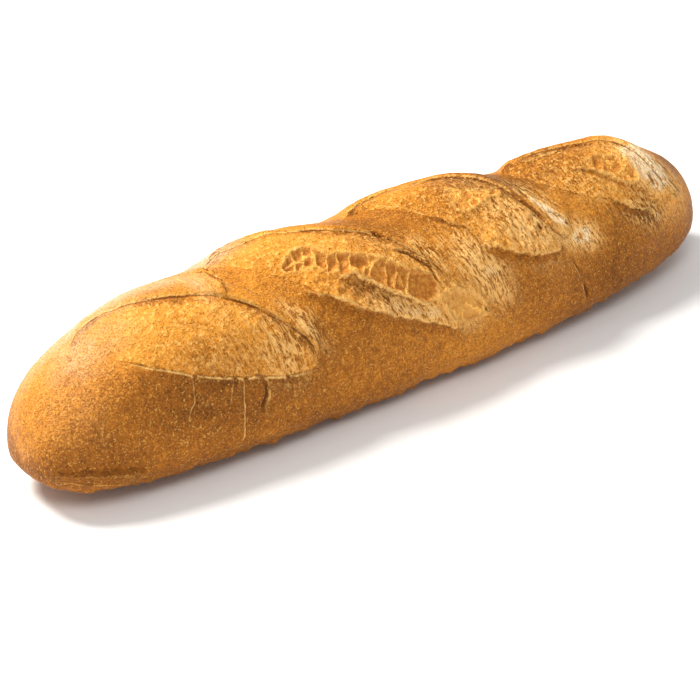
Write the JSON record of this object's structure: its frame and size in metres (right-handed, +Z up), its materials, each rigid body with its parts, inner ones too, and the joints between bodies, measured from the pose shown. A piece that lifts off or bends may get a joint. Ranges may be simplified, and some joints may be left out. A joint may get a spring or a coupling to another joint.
{
  "type": "baguette",
  "caption": "Short crusty baguette with diagonal slashes burst open along its top, each with a lifted ear of crust.",
  "frame": {"origin": "on the floor under the middle of the loaf", "axes": "+X along the loaf, +Z up, the slashes run from the top down the -Y side"},
  "size_m": [0.3, 0.0714, 0.0614],
  "materials": {
    "crust": "baked bread crust, golden brown, satin with a dry speckled surface"
  },
  "bodies": {
    "root": {"baguette": "crust"}
  },
  "joints": []
}
